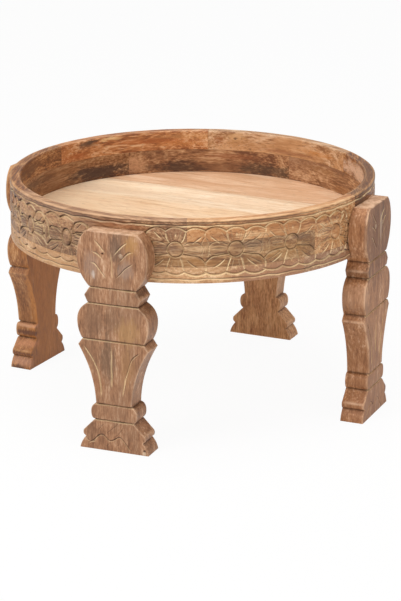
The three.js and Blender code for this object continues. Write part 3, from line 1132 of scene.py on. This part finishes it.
def leg_piece(node, order):
    """A leg: its outline gives the rows, and each row is the plank's section at that height."""
    width, height = leg_edge.T
    low = height <= shoulder
    shoulder_width = np.interp(shoulder, height, width)
    half = np.concatenate((width[low], [shoulder_width] * 2, width[~low]))[:, None]
    z = np.concatenate((height[low], [shoulder] * 2, height[~low]))[:, None]
    in_head = np.arange(len(z))[:, None] > low.sum()

    face_x = face_columns(half)
    far = from_edge(face_x, z)
    rise = np.clip((z - collar_top) / easing_change, 0, 1)
    easing = member_easing + (head_easing - member_easing) * rise * rise * (3 - 2 * rise)
    inside = 1 - np.minimum(far / easing, 1)
    rounded = easing * (1 - np.sqrt(1 - inside**2))
    carved, marks = leg_relief(order).read(face_x + leg_half, z)
    face_depth = rounded + carved
    hollow = hollow_radius - np.sqrt(hollow_radius**2 - (rear * half) ** 2)
    thickness = leg_face - np.where(in_head, head_back, leg_back) + hollow * in_head
    start = face_depth[:, -1:]
    side = start + (thickness[:, :1] - start) * flank
    side_x = np.repeat(half, len(flank), axis=1)
    x = np.hstack((face_x, side_x, rear * half, -side_x))
    y = round_plank(face_depth, side, thickness) - leg_face

    plain_side, plain_back = np.zeros(side.shape), np.zeros(thickness.shape)
    # Painted shade on the flanks in the notches between members, added to the shaded mark.
    notch_shade = notch_shade_strength * nearness(z, notch_heights, notch_shade_reach)
    rubbed = rub_strength * nearness(z, ridge_heights, rub_reach)
    fading = np.maximum(np.clip(1 - (side - start) / worn_flank, 0, 1), rubbed)
    marks = {
        "cut": round_plank(marks["cut"], plain_side, plain_back),
        "lit": round_plank(marks["lit"], plain_side, plain_back),
        "shaded": round_plank(marks["shaded"], plain_side + notch_shade, plain_back),
        "worn": round_plank(np.clip(1 - far / worn_width, 0, 1), fading, plain_back),
    }
    marks["worn"][-1] = 1

    points = np.dstack((x, y, np.broadcast_to(z, x.shape))).reshape(-1, 3)
    seated = (points[:, 2] > seat_margin) & (points[:, 1] < -leg_back - seat_margin)
    points[:, 1] += hand_worked(points + order, leg_unevenness, leg_wear_rate) * seated
    points[:, :2] = turned(points[:, :2], leg_stations[order] + math.pi / 2)
    return solid_piece(node + "_carved", points, looped(*x.shape), marks)


leg_tones = (
    ("70482e", "956848", "ae7f5c", "d6b090"),
    ("7c4e30", "a06c46", "b8835a", "dfb796"),
    ("955c38", "b98457", "d19d6d", "e3b58b"),
    ("66391a", "8b562e", "a66f3f", "c89666"),
)
leg_flush = ("846147", "8f6446", "9f704a", "80522c")
leg_figures = (
    dict(figure=0.7, broad=0.35, flecked=0.35, patched=0.45, gloss=0.4),
    dict(figure=0.7, broad=0.35, flecked=0.3, patched=0.35, gloss=0.3),
    dict(figure=0.8, broad=0.35, flecked=0.45, patched=0.4, gloss=0.4),
    dict(figure=0.8, broad=0.4, flecked=0.4, patched=0.4, gloss=0.4),
)
leg_stains_and_painted_light = (
    (
        # Painted highlight: the small whitish spot on the head's face.
        ((307, -33, 0), (7, 3, 15), "e2d4c8", 0.65),
        # The two greyish-white patches on the head's face: partly pale wax residue, partly painted
        # sheen.
        ((322, -36, 0), (22, 12, 15), "a99080", 0.4),
        ((318, 26, 0), (14, 14, 15), "a58d7d", 0.45),
        ((354, 6, 0), (28, 11, 15), "5f4a3c", 0.6),
        ((363, 34, 0), (18, 12, 15), "b8884e", 0.65),
        ((112, 0, 0), (85, 90, 15), "8a6346", 0.3),
        ((225, -30, 0), (26, 18, 15), "5b3d2a", 0.25),
        ((232, 2, 0), (24, 18, 15), "5f4937", 0.3),
        ((212, 28, 0), (22, 22, 15), "b98d58", 0.5),
        # Painted shade on the right flank, just below the notches under the head and under the
        # collar.
        ((278, 47, 20), (5, 8, 60), "4a2e1b", 0.55),
        ((250, 56, 20), (6, 10, 60), "563823", 0.45),
        ((160, -8, 0), (34, 14, 15), "604835", 0.6),
        ((150, 25, 0), (34, 12, 15), "a97c4e", 0.4),
        ((118, -30, 0), (22, 12, 15), "96603a", 0.4),
        ((30, -40, 0), (16, 14, 15), "5f4330", 0.3),
        ((4, 54, 0), (3, 3.5, 15), "d9c0a4", 0.7),
        ((8.5, 55, 0), (1.8, 2, 15), "3a2517", 0.8),
    ),
    (
        ((330, 0, 0), (90, 80, 7), "623614", 0.6),
        ((25, -40, 0), (40, 60, 60), "87583a", 0.35),
        # Painted highlight: a whitish streak down the head's face.
        ((338, 10, 0), (30, 5, 15), "cdb6a2", 0.5),
        ((345, 20, 0), (34, 5, 15), "5f4534", 0.5),
        ((120, -40, 0), (70, 40, 60), "875a3c", 0.35),
        # Painted shade by the leg's edge, on the downward facets of the bulge and of the collar.
        ((205, -55, 0), (16, 14, 60), "5c3c2a", 0.3),
        ((264, -50, 0), (12, 14, 60), "4a3020", 0.4),
        # Painted highlight on the flank, on the upward facet of the bulge.
        ((226, -60, 20), (22, 12, 60), "be9476", 0.4),
    ),
    (),
    (
        ((150, 0, 41), (220, 90, 12), "c07c38", 0.6),
        # Painted highlights: the pale bands at 277, 78, 44 and 12 mm, on the upward facets of the
        # collar, the ring and the foot.
        ((277, 46, 20), (5, 14, 60), "d8a26c", 0.65),
        ((78, 42, 20), (4, 14, 60), "dba27a", 0.6),
        ((64, 44, 20), (5, 12, 60), "4c2114", 0.75),
        ((44, 46, 20), (7, 16, 60), "cf9068", 0.5),
        ((27, 56, 20), (3, 8, 60), "54281a", 0.6),
        ((12, 58, 20), (9, 12, 60), "cc977a", 0.4),
        ((1, 64, 10), (5, 10, 20), "32180f", 0.7),
    ),
)
for order, node in enumerate(leg_names):
    leg = leg_piece(node, order)
    turn = leg_stations[order] + math.pi / 2
    wood = timber(
        node, leg_tones[order], leg_flush[order], turn,
        heart=(0.05 - 0.03 * order, leg_face + 0.05),
        lie=2.3 * order + 0.4,
        grain_up=True,
        run=42,
        tints=in_metres(leg_stains_and_painted_light[order], (0, 0, -leg_face)),
        **leg_figures[order],
    )
    leg.data.materials.append(wood)
    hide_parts(node)
    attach(leg, "root")


# The screws: two through each head into the wall, sunk below its face. Plain steel, and covered.
def speckled(name, scale, detail, stops, roughness, change, metallic=0.0, grit_height=0.0):
    """A plain finish with specks: scratches in steel, or grit in filler."""
    finish = Finish(bpy.data.materials.new(name))
    place = finish.node("ShaderNodeTexCoord", output=3)
    specks = finish.noise(place, detail, scale=scale)
    shader = {
        "Base Color": finish.ramp(specks, stops),
        "Metallic": metallic,
        "Roughness": roughness + specks * change,
    }
    if grit_height:
        shader["Normal"] = finish.bump(specks, grit_height)
    return finish.material(shader)


steel = speckled(
    "screw_steel", scale=900.0, detail=2.0, stops=((0.3, "6b665f"), (0.7, "a09a91")),
    roughness=0.3, change=0.3, metallic=1.0,
)
for leg in leg_names:
    for number in (1, 2):
        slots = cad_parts[f"{leg}_screw_{number}"].material_slots
        for slot in slots:
            slot.material = steel


# The putty: a dab of pale filler over each sunk screw, wiped nearly flush with the head's face.
# It has fallen out of one hole in the front leg.
def putty_tree(material):
    """Sets an uneven dab on each point, looking the way that the point's outward vector says."""
    group = bpy.data.node_groups.new("putty_dabs", "GeometryNodeTree")
    for name, way, kind in (
        ("Geometry", "INPUT", "NodeSocketGeometry"),
        ("Radius", "INPUT", "NodeSocketFloat"),
        ("Height", "INPUT", "NodeSocketFloat"),
        ("Geometry", "OUTPUT", "NodeSocketGeometry"),
    ):
        group.interface.new_socket(name, in_out=way, socket_type=kind)
    tree = Nodes(group)
    points, radius, height = (
        tree.node("NodeGroupInput", output=name) for name in ("Geometry", "Radius", "Height")
    )
    ball = tree.node("GeometryNodeMeshUVSphere", None, {"Segments": 20, "Rings": 12, "Radius": 1.0})
    flat = tree.node("ShaderNodeCombineXYZ", None, {0: radius, 1: radius, 2: height})
    vector = {"data_type": "FLOAT_VECTOR"}
    outward = tree.node("GeometryNodeInputNamedAttribute", vector, {"Name": "outward"})
    facing = tree.node("FunctionNodeAlignRotationToVector", {"axis": "Z"}, {"Vector": outward})
    sizes = {2: 0.8, 3: 1.15, "Seed": 5}
    size = tree.node("FunctionNodeRandomValue", {"data_type": "FLOAT"}, sizes, output=1)
    scaled = {"operation": "SCALE"}
    spread = tree.node("ShaderNodeVectorMath", scaled, {0: flat, "Scale": size})
    placed = tree.node("GeometryNodeInstanceOnPoints", None, {
        "Points": points,
        "Instance": ball,
        "Rotation": facing,
        "Scale": spread,
    })
    real = tree.node("GeometryNodeRealizeInstances", None, {0: placed})
    place = tree.node("GeometryNodeInputPosition")
    noise = {"Vector": place, "Scale": 260.0}
    lumps = tree.node("ShaderNodeTexNoise", None, noise, output="Color")
    centred = {0: lumps, 1: (0.5, 0.5, 0.5)}
    push = tree.node("ShaderNodeVectorMath", {"operation": "SUBTRACT"}, centred)
    small = tree.node("ShaderNodeVectorMath", scaled, {0: push, "Scale": 1.4 * mm})
    uneven = tree.node("GeometryNodeSetPosition", None, {"Geometry": real, "Offset": small})
    smooth = tree.node("GeometryNodeSetShadeSmooth", None, {"Geometry": uneven})
    coated = {"Geometry": smooth, "Material": material}
    tree.node("NodeGroupOutput", None, {0: tree.node("GeometryNodeSetMaterial", None, coated)})
    return group


putty_radius = 4.2 * mm
putty_height = 0.5 * mm
dab_places, dab_outwards = [], []
for order, angle in enumerate(leg_stations):
    outward = Vector((math.cos(angle), math.sin(angle), 0))
    sideways = Vector((-math.sin(angle), math.cos(angle), 0))
    for side in (1,) if order == 0 else (-1, 1):
        spot = outward * leg_face + sideways * side * screw_spacing / 2
        dab_places.append((spot.x, spot.y, screw_height))
        dab_outwards.append(tuple(outward))
dab_points = bpy.data.meshes.new("screw_putty")
dab_points.from_pydata(dab_places, [], [])
dab_points.attributes.new("outward", "FLOAT_VECTOR", "POINT").data.foreach_set(
    "vector", np.array(dab_outwards).ravel()
)
dabs = in_scene("screw_putty", dab_points)
putty = speckled(
    "putty", scale=420.0, detail=3.0, stops=((0.35, "8a6a52"), (0.6, "b79a80")),
    roughness=0.6, change=0.2, grit_height=0.4 * mm,
)
dabbing = dabs.modifiers.new("dabs", "NODES")
dabbing.node_group = putty_tree(putty)
amounts = {"Radius": putty_radius, "Height": putty_height}
for item in dabbing.node_group.interface.items_tree:
    if item.name in amounts:
        dabbing[item.identifier] = amounts[item.name]
shown = dabs.evaluated_get(bpy.context.evaluated_depsgraph_get())
dabs_mesh = bpy.data.meshes.new_from_object(shown)
dabs.modifiers.clear()
dabs.data = dabs_mesh
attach(dabs, "root")


# The floor and the light. A plain white floor under a soft sky, with one broad lamp high on the
# left and a weaker one on the right. White shows to the eye alone, and the floor keeps the shadow.
floor_half = 30.0
floor_grey = (0.82, 0.82, 0.82, 1)
floor_whiteness = 0.94
plain_white = (1, 1, 1, 1)
sky_colour = (1.0, 0.985, 0.965, 1)
sky_strength = 0.57
floor_mesh = bpy.data.meshes.new("floor")
floor_mesh.from_pydata(
    [(x * floor_half, y * floor_half, 0) for x, y in ((-1, -1), (1, -1), (1, 1), (-1, 1))],
    [],
    [(0, 1, 2, 3)],
)
floor = in_scene("floor", floor_mesh)
floor_finish = Finish(bpy.data.materials.new("floor"))
camera_ray, glossy_ray, clear_ray = (
    floor_finish.node("ShaderNodeLightPath", output=name)
    for name in ("Is Camera Ray", "Is Glossy Ray", "Is Transmission Ray")
)
seen = floor_finish.sum("MINIMUM", camera_ray + glossy_ray + clear_ray, 1.0)
matt = floor_finish.node("ShaderNodeBsdfDiffuse", None, {"Color": floor_grey})
white = floor_finish.node("ShaderNodeEmission", None, {"Color": plain_white, "Strength": 1.0})
layers = {0: seen * floor_whiteness, 1: matt, 2: white}
ground = floor_finish.node("ShaderNodeMixShader", None, layers)
floor_finish.node("ShaderNodeOutputMaterial", None, {"Surface": ground})
floor_mesh.materials.append(floor_finish.owner)

sky = Finish(bpy.data.worlds.new("sky"))
bpy.context.scene.world = sky.owner
seen = sky.node("ShaderNodeLightPath", output="Is Camera Ray")
soft = {"Color": sky_colour, "Strength": sky_strength}
light = sky.node("ShaderNodeBackground", None, soft)
white = sky.node("ShaderNodeBackground", None, {"Color": plain_white, "Strength": 1.0})
mixed = sky.node("ShaderNodeMixShader", None, {0: seen, 1: light, 2: white})
sky.node("ShaderNodeOutputWorld", None, {"Surface": mixed})

lamp_aim = Vector((0, 0, 0.3))


def lamp(name, place, size, power, colour=(1, 1, 1)):
    """A broad lamp that looks at the table."""
    data = bpy.data.lights.new(name, "AREA")
    data.size = size
    data.energy = power
    data.color = colour
    made = in_scene(name, data)
    made.location = place
    made.rotation_mode = "QUATERNION"
    made.rotation_quaternion = (lamp_aim - Vector(place)).to_track_quat("-Z", "Y")


lamp("overhead", (0.1, -0.2, 3.2), size=2.2, power=46)
lamp("key", (-1.3, -2.6, 2.4), size=1.6, power=50)
lamp("fill", (2.6, -1.6, 1.8), size=2.2, power=10, colour=(1, 0.88, 0.74))

bpy.context.scene.view_settings.view_transform = "Standard"
